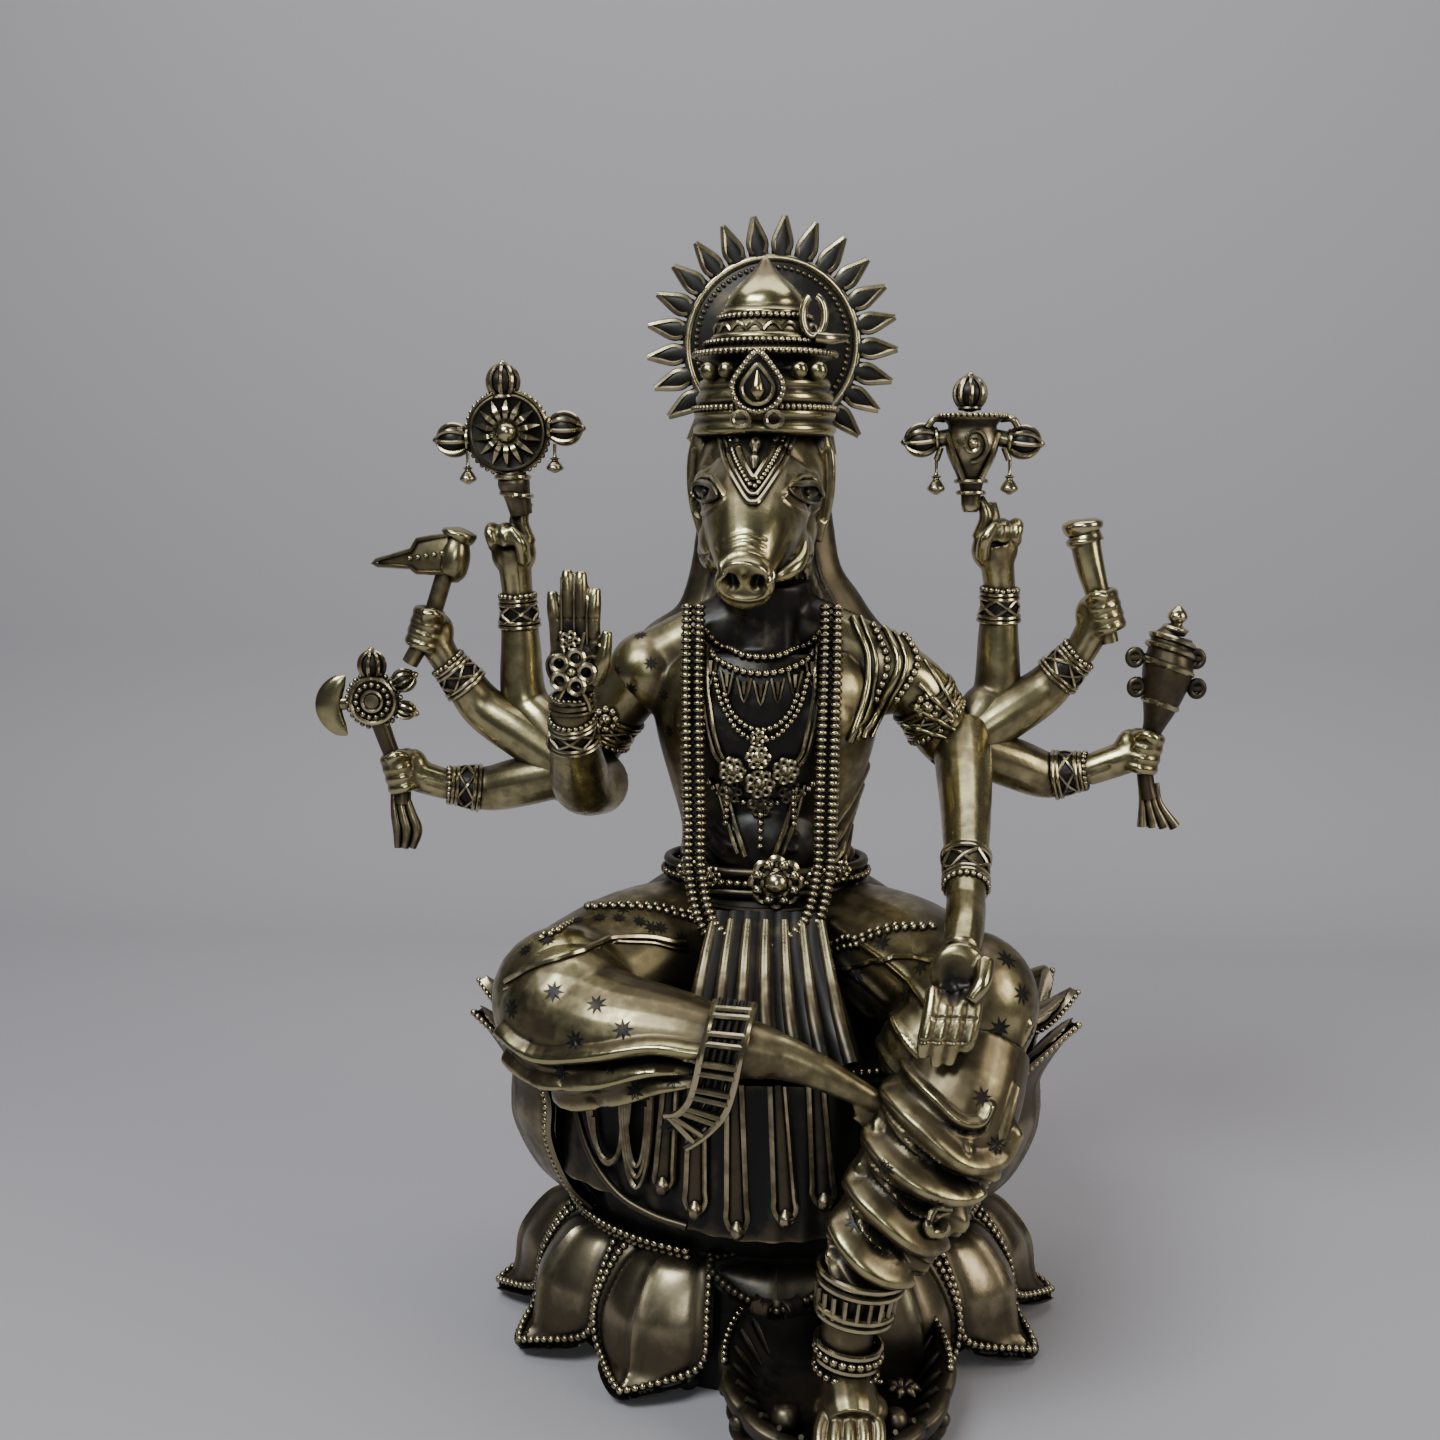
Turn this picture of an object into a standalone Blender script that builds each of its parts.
"""Brass shrine figure: a boar-headed, eight-armed deity seated on a double lotus throne.

Sizes are in millimetres in the tables and become metres in mm(). The throne's centre is the
working origin while the pieces are made: +X is the viewer's right, -Y is the front, +Z is up.
The finished assembly is moved once, so that the middle of its base rectangle is the origin.
"""

import math

import bmesh
import bpy
from mathutils import Euler, Matrix, Vector

MM = 0.001

# Driving dimensions, in millimetres.
BRAZE_GAP = 0.4  # room for solder between two bedded pieces
FIGURE_X = -2.0  # the figure sits a little to its own right of the throne's centre
PLAN_SQUASH = 0.80  # depth over width of the oval throne
SEAT_Z = 60.0  # top of the throne's core
LAP_Z = 63.4  # underside of the figure
WAIST_R = 39.0
LOWER_PETALS = 12
LOWER_PHASE = 2.0  # degrees that the ring of lower petals is turned
UPPER_PETAL_ANGLES = (-150, -110, -70, 70, 110, 150)
INNER_TIP_ANGLES = (-130, -90, 90, 130, 180)
HALO_RAYS = 25
HALO_CENTRE = (0.2, 17.5, 194.5)
HALO_TIP_R = 25.0
HALO_ROOT_R = 17.5
HALO_THICK = 2.2
FOOTREST_CENTRE = (12.5, -41.0)
FOOTREST_R = 21.0
FOOTREST_SLOPE = 0.45  # how much lower its front rim is, as a share of its height
SEAT_BOLT_R = 2.5

BRASS_COLOUR = (0.52, 0.42, 0.22, 1.0)
STEEL_COLOUR = (0.45, 0.45, 0.46, 1.0)


def mm(values):
    return Vector(values) * MM


def clear_scene():
    for obj in list(bpy.data.objects):
        bpy.data.objects.remove(obj)


def metal(name, colour, roughness):
    made = bpy.data.materials.new(name)
    made.use_nodes = True
    shader = made.node_tree.nodes["Principled BSDF"]
    shader.inputs["Base Color"].default_value = colour
    shader.inputs["Metallic"].default_value = 1.0
    shader.inputs["Roughness"].default_value = roughness
    return made


def collection(name):
    made = bpy.data.collections.new(name)
    bpy.context.scene.collection.children.link(made)
    return made


clear_scene()
FIGURE = collection("lotus_seated_figure")
CUTTERS = collection("cutters")
UNCUT = {}
BRASS = metal("antique_brass", BRASS_COLOUR, 0.32)
STEEL = metal("zinc_plated_steel", STEEL_COLOUR, 0.4)


# ---------------------------------------------------------------- working helpers


def evaluated_mesh(obj):
    bpy.context.view_layer.update()
    graph = bpy.context.evaluated_depsgraph_get()
    return bpy.data.meshes.new_from_object(obj.evaluated_get(graph))


def place(name, mesh, material=BRASS):
    obj = bpy.data.objects.new(name, mesh)
    obj.data.materials.clear()
    obj.data.materials.append(material)
    FIGURE.objects.link(obj)
    return obj


def applied(obj):
    """Replaces the object's mesh with what its modifiers make, and clears them."""
    mesh = evaluated_mesh(obj)
    obj.modifiers.clear()
    obj.data = mesh
    return obj


def from_bmesh(name, bm, material=BRASS):
    mesh = bpy.data.meshes.new(name)
    bm.to_mesh(mesh)
    bm.free()
    return place(name, mesh, material)


def smooth_path(values, per_span=4):
    """Points of a Catmull-Rom curve through rows of numbers of any width."""
    rows = [Vector(v) for v in values]
    padded = [rows[0] * 2 - rows[1], *rows, rows[-1] * 2 - rows[-2]]
    found = []
    for i in range(1, len(padded) - 2):
        a, b, c, d = padded[i - 1 : i + 3]
        for k in range(per_span):
            t = k / per_span
            found.append(
                (b * 2 + (c - a) * t + (a * 2 - b * 5 + c * 4 - d) * t**2
                 + (b * 3 - a - c * 3 + d) * t**3) * 0.5
            )
    return [*found, rows[-1]]


def tube_object(name, points, radii, sides=8):
    """A curve with a round bevel through the points, and a radius at each, in millimetres."""
    data = bpy.data.curves.new(name, "CURVE")
    data.dimensions = "3D"
    data.bevel_depth = MM
    data.bevel_resolution = (sides - 4) // 2
    data.use_fill_caps = True
    spline = data.splines.new("POLY")
    spline.points.add(len(points) - 1)
    for target, point, radius in zip(spline.points, points, radii):
        target.co = (*mm(point), 1.0)
        target.radius = radius
    obj = bpy.data.objects.new(name, data)
    obj.data.materials.append(BRASS)
    FIGURE.objects.link(obj)
    return obj


def tube_mesh(points, radii, sides=8):
    obj = tube_object("tube", points, radii, sides)
    mesh = evaluated_mesh(obj)
    bpy.data.objects.remove(obj)
    return mesh


class Wax:
    """Overlapping lumps of modelling wax that are fused into one closed skin."""

    def __init__(self, offset=(FIGURE_X, 0, 0)):
        self.bm = bmesh.new()
        self.offset = Matrix.Translation(mm(offset))

    def ball(self, centre, radii, turn=(0, 0, 0)):
        turned = Euler([math.radians(a) for a in turn]).to_matrix().to_4x4()
        matrix = self.offset @ Matrix.Translation(mm(centre)) @ turned
        matrix = matrix @ Matrix.Diagonal((*mm(radii), 1.0))
        bmesh.ops.create_icosphere(self.bm, subdivisions=2, radius=1.0, matrix=matrix)
        return self

    def limb(self, rows, squash=(1, 1, 1), about=(0, 0, 0), sides=12):
        """A tapering round limb: each row is x, y, z and the radius there."""
        path = smooth_path(rows, 3)
        mesh = tube_mesh([p[:3] for p in path], [p[3] for p in path], sides)
        centre = Matrix.Translation(mm(about))
        mesh.transform(self.offset @ centre @ Matrix.Diagonal((*squash, 1)) @ centre.inverted())
        self.bm.from_mesh(mesh)
        bpy.data.meshes.remove(mesh)
        return self

    def fuse(self, name, triangles, voxel=0.8, floor=None):
        """One closed body with about that many triangles, cut flat at the floor height."""
        bmesh.ops.remove_doubles(self.bm, verts=self.bm.verts, dist=1e-7)
        obj = from_bmesh(name, self.bm)
        skin = obj.modifiers.new("skin", "REMESH")
        skin.mode = "VOXEL"
        skin.voxel_size = voxel * MM
        soften = obj.modifiers.new("soften", "SMOOTH")
        soften.iterations = 3
        applied(obj)
        thin = obj.modifiers.new("thin", "DECIMATE")
        thin.ratio = triangles / (2 * len(obj.data.polygons))
        applied(obj)
        if floor is not None:
            slice_flat(obj, floor)
        return keep_largest(obj)


def slice_flat(obj, height):
    """Removes what lies below a height in millimetres and closes the cut."""
    bm = bmesh.new()
    bm.from_mesh(obj.data)
    everything = bm.verts[:] + bm.edges[:] + bm.faces[:]
    bmesh.ops.bisect_plane(
        bm, geom=everything, plane_co=mm((0, 0, height)), plane_no=(0, 0, 1), clear_inner=True
    )
    rim = [e for e in bm.edges if e.is_boundary]
    bmesh.ops.holes_fill(bm, edges=rim)
    bmesh.ops.triangulate(bm, faces=bm.faces[:])
    bm.to_mesh(obj.data)
    bm.free()


def keep_largest(obj):
    """Drops the loose offcuts that a cut leaves, and keeps the largest piece."""
    bm = bmesh.new()
    bm.from_mesh(obj.data)
    bm.verts.ensure_lookup_table()
    seen, islands = set(), []
    for start in bm.verts:
        if start in seen:
            continue
        stack, island = [start], set()
        while stack:
            vert = stack.pop()
            if vert in island:
                continue
            island.add(vert)
            stack += [e.other_vert(vert) for e in vert.link_edges]
        seen |= island
        islands.append(island)
    largest = max(islands, key=len)
    bmesh.ops.delete(bm, geom=[v for v in bm.verts if v not in largest])
    bm.to_mesh(obj.data)
    bm.free()
    return obj


def grown_copy(obj, gap):
    """A cutter: the piece as it was before any cut, moved out along its normals by the gap."""
    mesh = UNCUT.get(obj.name, obj.data).copy()
    bm = bmesh.new()
    bm.from_mesh(mesh)
    bmesh.ops.remove_doubles(bm, verts=bm.verts, dist=1e-7)
    bm.normal_update()
    for vert in bm.verts:
        vert.co += vert.normal * gap * MM
    bm.to_mesh(mesh)
    bm.free()
    cutter = bpy.data.objects.new(obj.name + "_cutter", mesh)
    cutter.hide_render = True
    cutter.display_type = "WIRE"
    CUTTERS.objects.link(cutter)
    return cutter


def bed(piece, *neighbours):
    """Cuts the piece back so that it beds on its neighbours with the braze gap between."""
    UNCUT[piece.name] = piece.data.copy()
    for neighbour in neighbours:
        cutter = grown_copy(neighbour, BRAZE_GAP)
        cut = piece.modifiers.new(cutter.name, "BOOLEAN")
        cut.operation = "DIFFERENCE"
        cut.object = cutter
        if not evaluated_mesh(piece).polygons:
            cut.solver = "MANIFOLD"
        applied(piece)
        bpy.data.objects.remove(cutter)
    return keep_largest(piece)


def turned(name, profile, steps, squash_y=1.0, centre=(0, 0, 0), material=BRASS):
    """A turned solid from (radius, height) rows that run down its outer side.

    A profile that starts off the axis is a ring: its last row is joined to its first.
    """
    bm = bmesh.new()
    points = [bm.verts.new(mm((r, 0, z))) for r, z in profile]
    ring = profile[0][0] > 0
    for a, b in zip(points, points[1:] + points[:1] if ring else points[1:]):
        bm.edges.new((a, b))
    obj = from_bmesh(name, bm, material)
    screw = obj.modifiers.new("turn", "SCREW")
    screw.steps = screw.render_steps = steps
    screw.use_merge_vertices = True
    screw.merge_threshold = 1e-6
    applied(obj)
    obj.data.transform(Matrix.Translation(mm(centre)) @ Matrix.Diagonal((1, squash_y, 1, 1)))
    return obj


def union(target, *others):
    for other in others:
        join = target.modifiers.new(other.name, "BOOLEAN")
        join.operation = "UNION"
        join.object = other
    applied(target)
    for other in others:
        bpy.data.objects.remove(other)
    return target


# ---------------------------------------------------------------- the throne


def leaf(name, angle, spine, half_width, belly, thick, rows=7, columns=4):
    """A solid petal: spine rows are (radius, height), widths and belly are functions of v."""
    bm = bmesh.new()
    bmesh.ops.create_grid(bm, x_segments=columns, y_segments=rows, size=1.0)
    turn = math.radians(angle)
    along = smooth_path(spine, rows)
    for vert in bm.verts:
        u, v = vert.co.x, (vert.co.y + 1) / 2
        at = v * (len(along) - 1)
        low = min(int(at), len(along) - 2)
        radius, height = along[low].lerp(along[low + 1], at - low)
        side = u * half_width(v)
        radius -= belly * u * u * half_width(v) / 12
        x = radius * math.sin(turn) + side * math.cos(turn)
        y = -radius * math.cos(turn) + side * math.sin(turn)
        vert.co = mm((x, y * PLAN_SQUASH, height))
    bmesh.ops.recalc_face_normals(bm, faces=bm.faces)
    outward = Vector((math.sin(turn), -math.cos(turn), 0))
    if sum((f.normal.dot(outward) for f in bm.faces)) < 0:
        bmesh.ops.reverse_faces(bm, faces=bm.faces)
    obj = from_bmesh(name, bm)
    wall = obj.modifiers.new("wall", "SOLIDIFY")
    wall.thickness = thick * MM
    wall.offset = -1
    return applied(obj)


def make_throne_core():
    """The hollow cast core, open underneath, with a hole for the seat bolt in its top."""
    outer = [
        (4.0, SEAT_Z), (43.0, SEAT_Z), (45.5, 52.0), (45.0, 44.0), (41.0, 32.0),
        (WAIST_R, 25.0), (40.0, 14.0), (43.5, 0.0),
    ]
    inner = [(39.0, 0.0), (36.0, 14.0), (35.0, 25.0), (37.0, 34.0), (40.0, 46.0),
             (38.0, SEAT_Z - 4.0), (4.0, SEAT_Z - 4.0)]
    return turned("throne_core", outer + inner, 28, PLAN_SQUASH)


def tip_half_width(v):
    return 6.5 * (1 - v**2.2) + 0.8


def make_inner_lotus():
    """The seat plate of the throne, cast with the five inner petal tips."""
    plate = turned(
        "inner_lotus",
        [(4.0, 63.0), (40.0, 63.0), (45.0, 62.0), (46.0, 60.4), (4.0, 60.4)],
        28, PLAN_SQUASH,
    )
    spine = [(42.5, 60.5), (50.0, 60.8), (55.0, 63.0), (60.0, 67.5)]
    tips = [
        leaf(f"tip_{i}", angle, spine, tip_half_width, 0.5, 1.8, rows=5, columns=2)
        for i, angle in enumerate(INNER_TIP_ANGLES)
    ]
    return union(plate, *tips)


def upper_half_width(v):
    """Widens up to three quarters of the way, then closes to the tip."""
    if v < 0.75:
        return 9.5 + 6.8 * math.sin(math.pi * v / 1.5)
    return 16.3 * max(0.0, 1 - ((v - 0.75) / 0.25) ** 1.6) + 0.8


def upper_petal(index, angle):
    spine = [(42.6, 27.6), (49.0, 34.5), (53.6, 45.0), (54.0, 55.0), (61.0, 66.5)]
    return leaf(f"upper_petal_{index}", angle, spine, upper_half_width, 3.2, 1.8)


def lower_half_width(v):
    return 7.2 + 3.7 * math.sin(math.pi * min(v + 0.12, 1.0)) - 6.2 * v**5


def lower_petal(index):
    angle = LOWER_PHASE + 360.0 / LOWER_PETALS * index
    front = index == 0
    spine = [(40.8, 24.4), (46.4, 21.8), (52.5, 13.5), (53.5, 6.0), (57.5, 2.0)]
    if front:
        spine = [(40.8, 24.4), (46.0, 23.6), (50.0, 19.5)]
    return leaf(f"lower_petal_{index + 1:02d}", angle, spine, lower_half_width, 4.6, 1.8)


def make_front_cloth():
    """The pleated cloth that falls over the front of the seat."""
    pleats, top, bottom = 9, 61.8, 34.0
    bm = bmesh.new()
    bmesh.ops.create_grid(bm, x_segments=2 * pleats, y_segments=3, size=1.0)
    first, last = math.radians(-50), math.radians(42)
    for vert in bm.verts:
        u, v = (vert.co.x + 1) / 2, (vert.co.y + 1) / 2
        turn = first + (last - first) * u
        fold = 1.0 if round(u * 2 * pleats) % 2 else -0.4
        radius = 48.4 - 1.2 * v + fold
        height = bottom + (top - bottom) * v
        vert.co = mm((radius * math.sin(turn), -radius * PLAN_SQUASH * math.cos(turn) - 2.5, height))
    bmesh.ops.recalc_face_normals(bm, faces=bm.faces)
    if sum(f.normal.y for f in bm.faces) > 0:
        bmesh.ops.reverse_faces(bm, faces=bm.faces)
    obj = from_bmesh("front_cloth", bm)
    wall = obj.modifiers.new("wall", "SOLIDIFY")
    wall.thickness = 2.0 * MM
    wall.offset = -1
    return applied(obj)


def make_footrest():
    """The small dished lotus under the hanging foot."""
    profile = [
        (0.0, 5.2), (13.0, 5.2), (17.0, 7.0), (19.6, 11.0), (FOOTREST_R, 11.4),
        (FOOTREST_R - 0.6, 6.0), (17.5, 1.5), (16.5, 0.0), (0.0, 0.0),
    ]
    obj = turned("footrest_lotus", profile, 20)
    for vert in obj.data.vertices:
        vert.co.z *= 1 + FOOTREST_SLOPE * vert.co.y / (FOOTREST_R * MM)
    obj.data.transform(Matrix.Translation(mm((*FOOTREST_CENTRE, 0))))
    return obj


def make_seat_bolt():
    """The bolt that draws the figure down on the throne, from underneath."""
    head_top, head_low = SEAT_Z - 4.5, SEAT_Z - 8.5
    profile = [
        (0.0, 73.0), (SEAT_BOLT_R, 73.0), (SEAT_BOLT_R, head_top), (5.5, head_top),
        (5.5, head_low), (0.0, head_low),
    ]
    return turned("seat_bolt", profile, 12, material=STEEL)


# ---------------------------------------------------------------- the figure's body


def make_torso():
    wax = Wax()
    wax.limb(
        [(0, 1, 82, 20), (0, 1, 92, 18.2), (0, 1, 100, 17.2), (0, 0.5, 109, 19.5),
         (0, 0, 119, 22), (0, 0.5, 128, 22.8), (0, 1, 135, 19)],
        squash=(1, 0.58, 1), about=(0, 1, 0), sides=16,
    )
    for side in (-1, 1):
        wax.ball((side * 23.0, 1, 131.5), (7.6, 7.4, 7.4))
        wax.limb([(side * 6, 2, 138, 7.5), (side * 21, 1.5, 133, 6.2)])
    wax.limb([(0, 2, 132, 11), (0, 2, 141, 9.5), (0, 1, 150, 9.5)])
    return wax.fuse("torso", 340)


def make_hips():
    wax = Wax()
    wax.ball((0, 4, 76.5), (31, 21, 17))
    wax.ball((0, 6, 70), (35, 24, 11))
    return wax.fuse("hips", 300, voxel=1.2, floor=LAP_Z)


def make_right_thigh():
    wax = Wax()
    wax.limb([(-12, 2, 77, 13), (-24, -12, 75.5, 14), (-36, -27, 72.5, 13.2)])
    wax.ball((-35.5, -29, 73), (13.6, 12, 14))
    return wax.fuse("right_thigh", 240, voxel=1.0, floor=LAP_Z)


def make_left_thigh():
    wax = Wax()
    wax.limb([(12, 2, 77, 13), (26, -16, 77, 13.2), (37, -32.5, 77.5, 10.6)])
    wax.ball((37.5, -33.5, 77.5), (11, 10, 11.5))
    return wax.fuse("left_thigh", 240, voxel=1.0, floor=LAP_Z)


def make_right_shin():
    """The folded shin with its foot, which lies across the lap."""
    wax = Wax()
    wax.ball((-30, -35, 66), (13, 9, 9.5))
    wax.limb([(-35, -35, 68, 9), (-22, -41, 69, 9), (-9, -44, 71.5, 6.5), (2, -46, 71, 4.4)])
    wax.limb([(1, -45.5, 71, 4.6), (6, -46.5, 69.5, 4.0), (14, -47, 64.5, 3.6), (22.5, -46, 59.6, 2.4)])
    return wax.fuse("right_shin", 260, voxel=0.8)


def make_left_shin():
    """The hanging shin in its swags of cloth."""
    wax = Wax()
    wax.limb(
        [(37.5, -38, 70, 10.5), (33.5, -43, 60, 11.8), (26.5, -46, 49, 11), (19.5, -49, 38, 8.2),
         (16.5, -50.5, 29, 6.2), (15.7, -51, 20, 4.6), (15.7, -51, 14.5, 4.6)],
        sides=14,
    )
    return wax.fuse("left_shin", 250, voxel=0.9)


def make_left_foot():
    wax = Wax()
    wax.limb([(15.7, -48.5, 11.5, 4.2), (16, -53, 11, 4.6), (16.4, -58, 8.6, 4.6), (16.6, -61, 8, 3.6)],
             squash=(1.08, 1, 0.8), about=(16, 0, 9))
    return wax.fuse("left_foot", 160, voxel=0.7, floor=5.8)


def make_apron():
    """The pleated end of the lower garment between the thighs."""
    wax = Wax()
    for x in (-10, -5, 0, 5, 10, 15):
        wax.limb([(x * 0.8, -19, 86, 2.6), (x * 0.95, -27, 80, 2.8), (x * 1.1 + 1, -37, 70.5, 3.0)])
    return wax.fuse("apron", 170, voxel=0.8)


def make_belt():
    wax = Wax()
    ring = [(19.6 * math.sin(a), 1 - 12.6 * math.cos(a), 91.5, 1.9)
            for a in [math.radians(30 * k) for k in range(13)]]
    wax.limb(ring, sides=8)
    wax.ball((2.5, -16.8, 93.0), (6.2, 3.0, 6.2))
    return wax.fuse("belt", 280, voxel=0.6)


def make_garland():
    """The long bead garland: one side, then its mirror, through the low point."""
    side = [(13.6, -7.5, 143.5), (13.5, -12.2, 131), (13.2, -15.0, 118), (12.8, -15.8, 105),
            (12.2, -18.2, 95.5), (8.3, -22.4, 88.0)]
    route = [(-x, y, z) for x, y, z in side] + [(0, -24.5, 84.6)] + side[::-1]
    path = [p + Vector((FIGURE_X - 0.6, 0, 0)) for p in smooth_path(route, 2)]
    obj = tube_object("garland", path, [2.2] * len(path), 8)
    return closed_tube(obj)


def make_necklace():
    side = [(9.2, -9.8, 135.5), (7.4, -12.8, 127.0), (4.2, -14.9, 121.4)]
    route = [(-x, y, z) for x, y, z in side] + [(0, -15.6, 119.4)] + side[::-1]
    path = [p + Vector((FIGURE_X - 0.6, 0, 0)) for p in smooth_path(route, 3)]
    obj = tube_object("necklace", path, [1.5] * len(path), 8)
    return closed_tube(obj)


def closed_tube(obj):
    """Swaps a bevelled curve for a mesh whose caps are welded to its sides."""
    name = obj.name
    mesh = evaluated_mesh(obj)
    bpy.data.objects.remove(obj)
    bm = bmesh.new()
    bm.from_mesh(mesh)
    bmesh.ops.remove_doubles(bm, verts=bm.verts, dist=1e-7)
    bm.to_mesh(mesh)
    bm.free()
    return place(name, mesh)


# ---------------------------------------------------------------- head, crown and halo


def make_head():
    wax = Wax()
    wax.ball((-1.2, -2.5, 168), (12.4, 11.5, 13.5))
    wax.ball((-1.4, -4, 158.5), (10.8, 10, 8))
    wax.limb([(-1.5, -9, 164.5, 10.2), (-1.9, -17, 160.4, 8.8), (-2.3, -24, 155.8, 6.6),
              (-2.7, -29.4, 151.6, 4.9)], sides=14)
    wax.limb([(-2.7, -29, 151.6, 5.3), (-2.9, -31.8, 150.4, 5.3)], sides=14)
    for side in (-1, 1):
        x = side * 12.3 - 1.2
        wax.limb([(x, 1, 174, 1.6), (x + side * 0.6, 2, 166, 2.6), (x, 2.5, 158.5, 1.2)])
    return wax.fuse("boar_head", 520, voxel=0.7)


def make_tusk(name, side):
    wax = Wax()
    wax.limb([(side * 6.6 - 2.2, -19.5, 151.8, 1.7), (side * 7.6 - 2.2, -23.5, 152.6, 1.6),
              (side * 7.2 - 2.2, -26.0, 154.6, 1.2), (side * 6.2 - 2.2, -27.0, 157.0, 0.7)], sides=8)
    return wax.fuse(name, 70, voxel=0.35)


def make_veil():
    """Hair and veil behind the head, spreading to the shoulders."""
    wax = Wax()
    wax.limb([(-0.6, 6, 172, 12), (-0.6, 6, 160, 13.6), (-0.5, 6, 150, 15.4), (0, 6, 143, 19.6),
              (0, 6, 137.5, 26)], squash=(1, 0.42, 1), about=(0, 6, 0), sides=14)
    return wax.fuse("neck_veil", 160, voxel=0.9)


def make_crown():
    profile = [
        (0.0, 208.8), (1.6, 207.6), (4.6, 204.8), (8.4, 200.6), (9.6, 198.6), (9.6, 197.0),
        (10.6, 194.6), (11.0, 192.6), (13.2, 191.8), (13.2, 190.4), (11.6, 189.6), (12.4, 188.4),
        (13.0, 185.6), (13.4, 181.0), (13.6, 177.4), (12.6, 175.6), (0.0, 175.6),
    ]
    crown = turned("crown", profile, 16, 0.94, centre=(FIGURE_X - 0.5, -1.5, 0))
    jewel = Wax().ball((-1.0, -15.2, 184.6), (3.6, 2.6, 5.6)).fuse("jewel", 90, voxel=0.5)
    return union(crown, jewel)


def make_crescent():
    """The crescent and ring pinned to the side of the crown."""
    wax = Wax()
    wax.limb([(7.0, -10.2, 200.2, 1.0), (7.4, -11.2, 197.0, 1.3), (9.0, -11.2, 194.4, 1.5),
              (12.0, -9.4, 193.4, 1.2), (15.0, -7.4, 193.6, 0.7)], sides=8)
    return wax.fuse("crescent", 110, voxel=0.4)


def make_halo():
    """A flat disc with pointed rays, as a filled outline with a thickness."""
    data = bpy.data.curves.new("halo", "CURVE")
    data.dimensions = "2D"
    data.fill_mode = "BOTH"
    data.extrude = HALO_THICK / 2 * MM
    step = math.tau / HALO_RAYS
    outline = []
    for k in range(HALO_RAYS):
        middle = (k + 0.5) * step
        for share, radius in ((-0.5, HALO_ROOT_R), (-0.3, 20.6), (0.0, HALO_TIP_R), (0.3, 20.6)):
            angle = middle + share * step
            outline.append((radius * math.sin(angle), radius * math.cos(angle)))
    spline = data.splines.new("POLY")
    spline.points.add(len(outline) - 1)
    spline.use_cyclic_u = True
    for target, (x, y) in zip(spline.points, outline):
        target.co = (x * MM, y * MM, 0, 1)
    obj = bpy.data.objects.new("halo", data)
    FIGURE.objects.link(obj)
    upright = Matrix.Rotation(math.pi / 2, 4, "X")
    x, y, z = HALO_CENTRE
    obj.matrix_world = Matrix.Translation(mm((FIGURE_X + x, y, z))) @ upright
    matrix = obj.matrix_world.copy()
    made = closed_tube(obj)
    made.data.transform(matrix)
    return made


def make_halo_pin():
    x, _, _ = HALO_CENTRE
    path = [(FIGURE_X + x, 6.0, 186.0), (FIGURE_X + x, 19.8, 186.0)]
    return closed_tube(tube_object("halo_pin", path, [1.5, 1.5], 10))


# ---------------------------------------------------------------- arms and what they hold


RIGHT_ELBOW = (-38.5, 5, 110)
LEFT_ELBOW = (38.5, 5, 116)

# Forearms: the middle, the wrist, and the hand's centre. They leave from the elbow.
FOREARMS = {
    "right_forearm_discus": (RIGHT_ELBOW, (-50.2, 9.5, 124), (-50.3, 8, 146), (-50.2, 6, 156.5)),
    "right_forearm_plough": (RIGHT_ELBOW, (-58.5, 8, 122), (-64.4, 6, 131.5), (-67.8, 4, 138.5)),
    "right_forearm_goad": (RIGHT_ELBOW, (-56.5, 8, 105.5), (-64.8, 6, 106.4), (-73.8, 4, 109.6)),
    "left_forearm_conch": (LEFT_ELBOW, (46.0, 9.5, 126), (45.6, 8, 146.6), (44.2, 6, 156.4)),
    "left_forearm_pestle": (LEFT_ELBOW, (54.5, 8, 126.5), (61.0, 6, 134), (65.0, 4, 142.6)),
    "left_forearm_noose": (LEFT_ELBOW, (55.5, 8, 109.6), (63.2, 6, 110.8), (73.6, 4, 115.2)),
}


def make_upper_arm(name, side, elbow):
    x, y, z = elbow
    wax = Wax()
    wax.limb([(side * 26, 1, 130, 6.4), (side * 32, 1.5, (130 + z) / 2, 6.0), (x, y - 1, z, 6.6)])
    wax.ball((x + side * 2, y + 2, z), (7.0, 6.0, 7.6))
    return wax.fuse(name, 130, voxel=0.9)


def make_back_forearm(name):
    elbow, middle, wrist, hand = (Vector(p) for p in FOREARMS[name])
    wax = Wax()
    wax.limb([(*elbow, 4.6), (*elbow.lerp(middle, 0.6), 4.8), (*middle, 4.5), (*wrist, 3.6)])
    cuff = (wrist - middle).normalized()
    wax.limb([(*(wrist - cuff * 6), 4.5), (*wrist, 4.5)])
    wax.limb([(*wrist, 3.2), (*wrist.lerp(hand, 0.5), 3.8), (*hand, 4.6)])
    wax.ball(hand, (4.6, 4.2, 4.9))
    if "discus" in name or "conch" in name:
        tip = hand + Vector((2.2 if hand.x < 0 else -2.2, 0, 8.5))
        wax.limb([(*hand, 1.9), (*tip, 1.5)], sides=8)
    return wax.fuse(name, 150, voxel=0.7)


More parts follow.
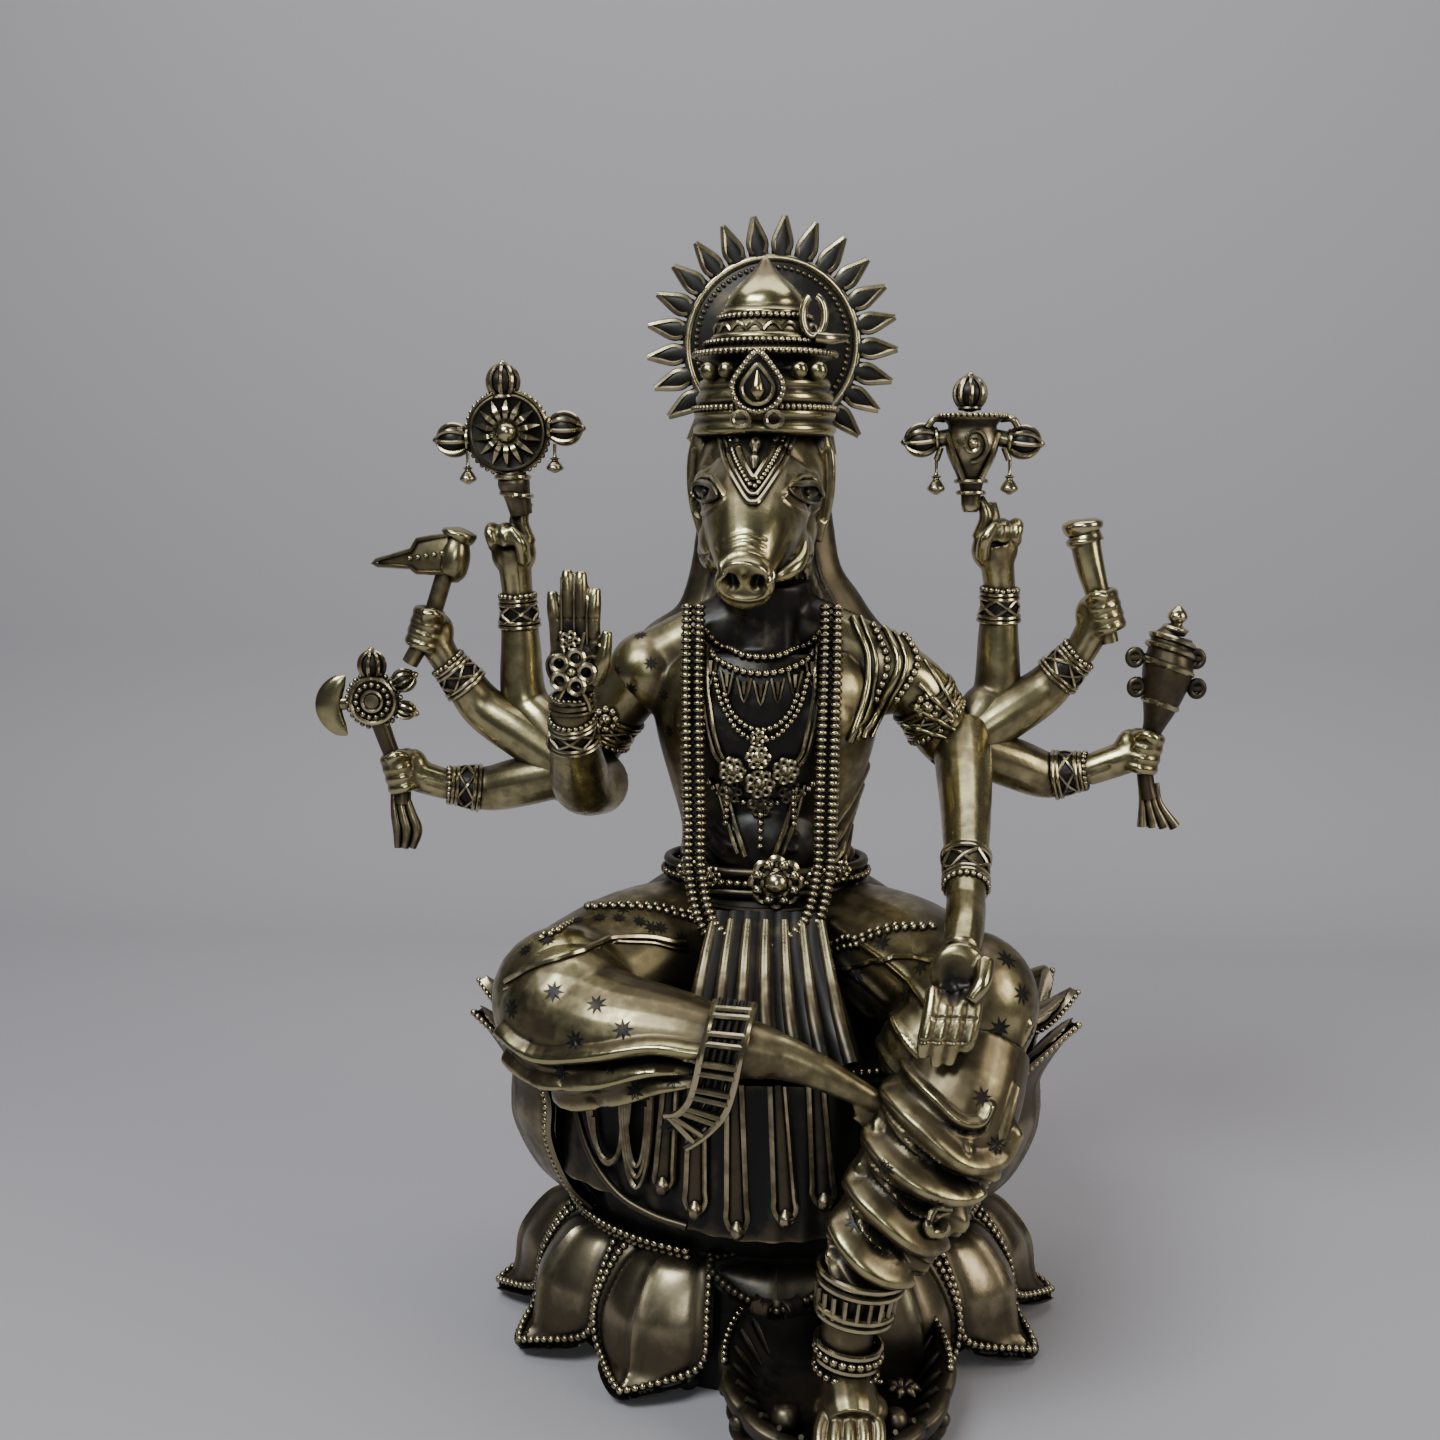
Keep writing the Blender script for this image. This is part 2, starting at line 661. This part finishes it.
def make_front_right_forearm():
    """Raised forearm with the open hand of reassurance."""
    wax = Wax()
    wax.limb([(-34.5, -1, 111.5, 6.4), (-35.0, -10, 113, 5.8), (-35.0, -18, 121, 4.4),
              (-35.0, -21, 126, 3.8)])
    wax.limb([(-35.0, -21, 125, 4.4), (-34.6, -22, 131, 4.6)])
    wax.ball((-34.2, -23, 134), (5.2, 2.8, 6.4))
    for x, top in ((-37.2, 147.6), (-35.2, 151.0), (-33.2, 150.8), (-31.2, 148.0)):
        wax.limb([(x * 0.97 - 1, -23, 137, 1.5), (x + 0.6, -23.4, top, 1.2)], sides=8)
    wax.limb([(-30.8, -23, 132.5, 1.7), (-27.6, -23.8, 140, 1.3)], sides=8)
    return wax.fuse("front_right_forearm", 380, voxel=0.5)


def make_front_left_forearm():
    """Lowered forearm with the open hand of giving, laid on the knee."""
    wax = Wax()
    wax.limb([(38.2, 2.5, 118, 5.4), (38.0, -7, 111, 4.9), (37.4, -20, 103, 4.1), (36.6, -32, 95.4, 3.6)])
    wax.limb([(37.0, -27, 98.6, 4.4), (36.5, -33.5, 94.4, 4.4)])
    wax.limb([(36.4, -34, 94, 3.6), (34.8, -44, 89.4, 4.2)])
    wax.ball((34.2, -46.4, 87.4), (5.2, 3.8, 5.4))
    for x in (-3.2, -1.1, 1.1, 3.1):
        wax.limb([(33.8 + x, -48, 85.5, 1.5), (32.6 + x, -51, 79, 1.4), (31.4 + x, -51.6, 72.5, 1.2)],
                 sides=8)
    return wax.fuse("front_left_forearm", 360, voxel=0.5)


def make_discus():
    """The sun discus with its three bosses and two drops, on a short stem."""
    wax = Wax()
    wax.ball((-51, 5, 177), (9.4, 2.6, 8.6))
    wax.ball((-52.0, 5, 187.2), (2.8, 2.8, 2.8))
    for side in (-1, 1):
        wax.ball((-51 + side * 11.4, 5, 177 + side * 0.6), (2.9, 2.9, 2.9))
        wax.limb([(-51 + side * 8.8, 4, 174, 0.9), (-51 + side * 9.4, 4, 169.6, 1.5)], sides=8)
        wax.limb([(-51 + side * 7.0, 5, 177, 1.8), (-51 + side * 10, 5, 177, 1.8)], sides=8)
    wax.limb([(-51.6, 5, 184, 1.9), (-51.8, 5, 186, 1.9)], sides=8)
    wax.limb([(-50.4, 5.4, 171, 3.0), (-49.6, 5.8, 167, 3.2), (-48.8, 6, 161.5, 2.2)], sides=10)
    return wax.fuse("discus", 320, voxel=0.5)


def make_conch():
    """The conch with its bosses and drops, on a short stem."""
    wax = Wax()
    wax.limb([(39.2, 5, 181.4, 6.0), (39.2, 5, 178, 6.2), (39.6, 5, 172, 4.6), (40.4, 5.4, 166, 2.6),
              (41.2, 6, 161, 2.2)], sides=12)
    wax.ball((38.6, 5, 184.4), (2.9, 2.9, 2.9))
    for side in (-1, 1):
        wax.ball((39.2 + side * 9.6, 5, 175.6), (2.9, 2.9, 2.9))
        wax.limb([(39.2 + side * 4, 5, 178.5, 1.6), (39.2 + side * 9, 5, 177, 1.6)], sides=8)
        wax.limb([(39.2 + side * 7.0, 4, 172.6, 0.9), (39.2 + side * 7.4, 4, 167.8, 1.5)], sides=8)
    return wax.fuse("conch", 300, voxel=0.5)


def make_plough():
    """The plough: a wedge share on a shaft through the fist."""
    wax = Wax()
    wax.limb([(-71.6, 4, 131.6, 1.6), (-67.8, 4, 138.5, 1.7), (-63.2, 4, 152, 1.7)], sides=8)
    wax.limb([(-60.2, 4, 153.2, 3.0), (-62.4, 4, 154.2, 3.4), (-66.5, 4, 153.8, 3.1), (-71, 4, 152.6, 1.9),
              (-75.5, 4, 151.6, 0.8)], squash=(1, 0.7, 1), about=(0, 4, 0), sides=8)
    wax.ball((-61.8, 4, 157.4), (2.6, 2.2, 1.5))
    wax.ball((-59.6, 4, 151.2), (1.9, 1.9, 2.4))
    return wax.fuse("plough", 200, voxel=0.5)


def make_pestle():
    """The pestle: a shaft through the fist with a flanged head."""
    wax = Wax()
    wax.limb([(66.6, 4, 136.6, 1.9), (65.0, 4, 142.6, 1.9), (62.4, 4, 151, 2.0), (60.8, 4, 157.4, 2.0)],
             sides=10)
    wax.limb([(61.0, 4, 157.0, 3.4), (60.6, 4, 158.4, 3.6), (60.2, 4, 160.4, 3.4)], sides=12)
    return wax.fuse("pestle", 140, voxel=0.5)


def make_goad():
    """The goad: a beaded hub with a half-moon blade and a ribbon below the fist."""
    wax = Wax()
    wax.limb([(-78.0, 3, 121, 2.0), (-76.0, 3.4, 114, 1.8), (-73.8, 4, 108.6, 1.6), (-73.8, 3.6, 102, 1.9)],
             sides=8)
    wax.ball((-78.7, 3, 124.2), (5.0, 2.8, 5.0))
    wax.ball((-79.6, 3, 131.2), (2.9, 2.6, 2.4))
    wax.ball((-72.6, 3, 127.6), (2.2, 2.2, 2.2))
    wax.ball((-72.4, 3, 122.4), (1.8, 1.8, 1.8))
    wax.limb([(-83, 3, 123.6, 1.4), (-86.5, 3, 123.2, 1.2)], sides=8)
    wax.limb([(-85.4, 3, 128.2, 0.8), (-88.4, 3, 125.4, 1.9), (-88.8, 3, 121.4, 2.3),
              (-86.6, 3, 117.6, 0.9)], squash=(1, 0.6, 1), about=(0, 3, 0), sides=8)
    wax.limb([(-75.4, 3.6, 103.6, 2.2), (-74.6, 3, 98.5, 2.0), (-74.2, 3, 95.6, 1.0)],
             squash=(1, 0.7, 1), about=(0, 3, 0), sides=8)
    return wax.fuse("goad", 320, voxel=0.5)


def make_noose():
    """The noose, wound on its handle, with four loops and a tassel below the fist."""
    wax = Wax()
    wax.limb([(78.0, 3, 135.5, 4.0), (77.6, 3, 130, 4.8), (76.2, 3, 123, 3.0), (74.0, 3.8, 116, 1.8),
              (74.6, 3.6, 109, 1.8), (77.0, 3, 102.6, 2.8)], sides=10)
    wax.limb([(78.8, 3, 136, 1.6), (79.4, 3, 141.4, 2.0)], sides=8)
    for x, z in ((-7.4, 3.2), (-6.6, -2.2), (5.6, 3.0), (6.4, -2.6)):
        wax.ball((77.6 + x, 3, 130.5 + z), (1.9, 1.5, 2.2))
        wax.limb([(77.6 + x * 0.5, 3, 130.5 + z, 1.0), (77.6 + x, 3, 130.5 + z, 1.0)], sides=8)
    return wax.fuse("noose", 320, voxel=0.5)


# ---------------------------------------------------------------- assembly


def build():
    core = make_throne_core()
    bolt = make_seat_bolt()
    seat = make_inner_lotus()
    footrest = bed(make_footrest(), core)
    uppers = [bed(upper_petal(i + 1, a), seat, core) for i, a in enumerate(UPPER_PETAL_ANGLES)]
    lowers = [bed(lower_petal(i), core, footrest) for i in range(LOWER_PETALS)]
    cloth = bed(make_front_cloth(), core, seat, *uppers)

    garland, necklace, belt = make_garland(), make_necklace(), make_belt()
    bed(belt, garland)
    hips = bed(make_hips(), bolt, belt, seat)
    torso = bed(make_torso(), hips, belt, garland, necklace)
    right_thigh = bed(make_right_thigh(), hips, seat, cloth, torso, belt)
    left_thigh = bed(make_left_thigh(), hips, seat, cloth, torso, belt)
    right_shin = bed(make_right_shin(), right_thigh, left_thigh, cloth, seat)
    left_shin = bed(make_left_shin(), left_thigh, right_shin, cloth, footrest, core, lowers[0], lowers[1])
    left_foot = bed(make_left_foot(), left_shin, footrest, lowers[0])
    apron = bed(make_apron(), hips, right_thigh, left_thigh, right_shin, garland, belt, torso, cloth, seat)

    head = bed(make_head(), torso)
    for name, side in (("right_tusk", -1), ("left_tusk", 1)):
        bed(make_tusk(name, side), head)
    halo, pin = make_halo(), make_halo_pin()
    crown = bed(make_crown(), head, pin, halo)
    crescent = bed(make_crescent(), crown, halo)
    bed(halo, pin)
    veil = bed(make_veil(), head, torso, crown, halo, pin, garland, necklace)

    arms = [
        bed(make_upper_arm("right_upper_arm", -1, RIGHT_ELBOW), torso, veil, garland),
        bed(make_upper_arm("left_upper_arm", 1, LEFT_ELBOW), torso, veil, garland),
    ]
    held = [make_discus(), make_conch(), make_plough(), make_pestle(), make_goad(), make_noose()]
    made = []
    for name in FOREARMS:
        made.append(bed(make_back_forearm(name), *arms, *held, *made))
    bed(make_front_right_forearm(), arms[0], *made[:3], torso)
    bed(make_front_left_forearm(), arms[1], *made[3:], left_thigh, left_shin, torso)


def set_origin():
    """Moves every piece so that the middle of the base rectangle is the origin."""
    corners = [v.co for obj in FIGURE.objects for v in obj.data.vertices]
    low = Vector([min(c[k] for c in corners) for k in range(3)])
    high = Vector([max(c[k] for c in corners) for k in range(3)])
    shift = Matrix.Translation(-Vector(((low.x + high.x) / 2, (low.y + high.y) / 2, low.z)))
    for obj in FIGURE.objects:
        obj.data.transform(shift)
        obj.data.shade_smooth()
        obj.data.set_sharp_from_angle(angle=math.radians(40))


build()
set_origin()
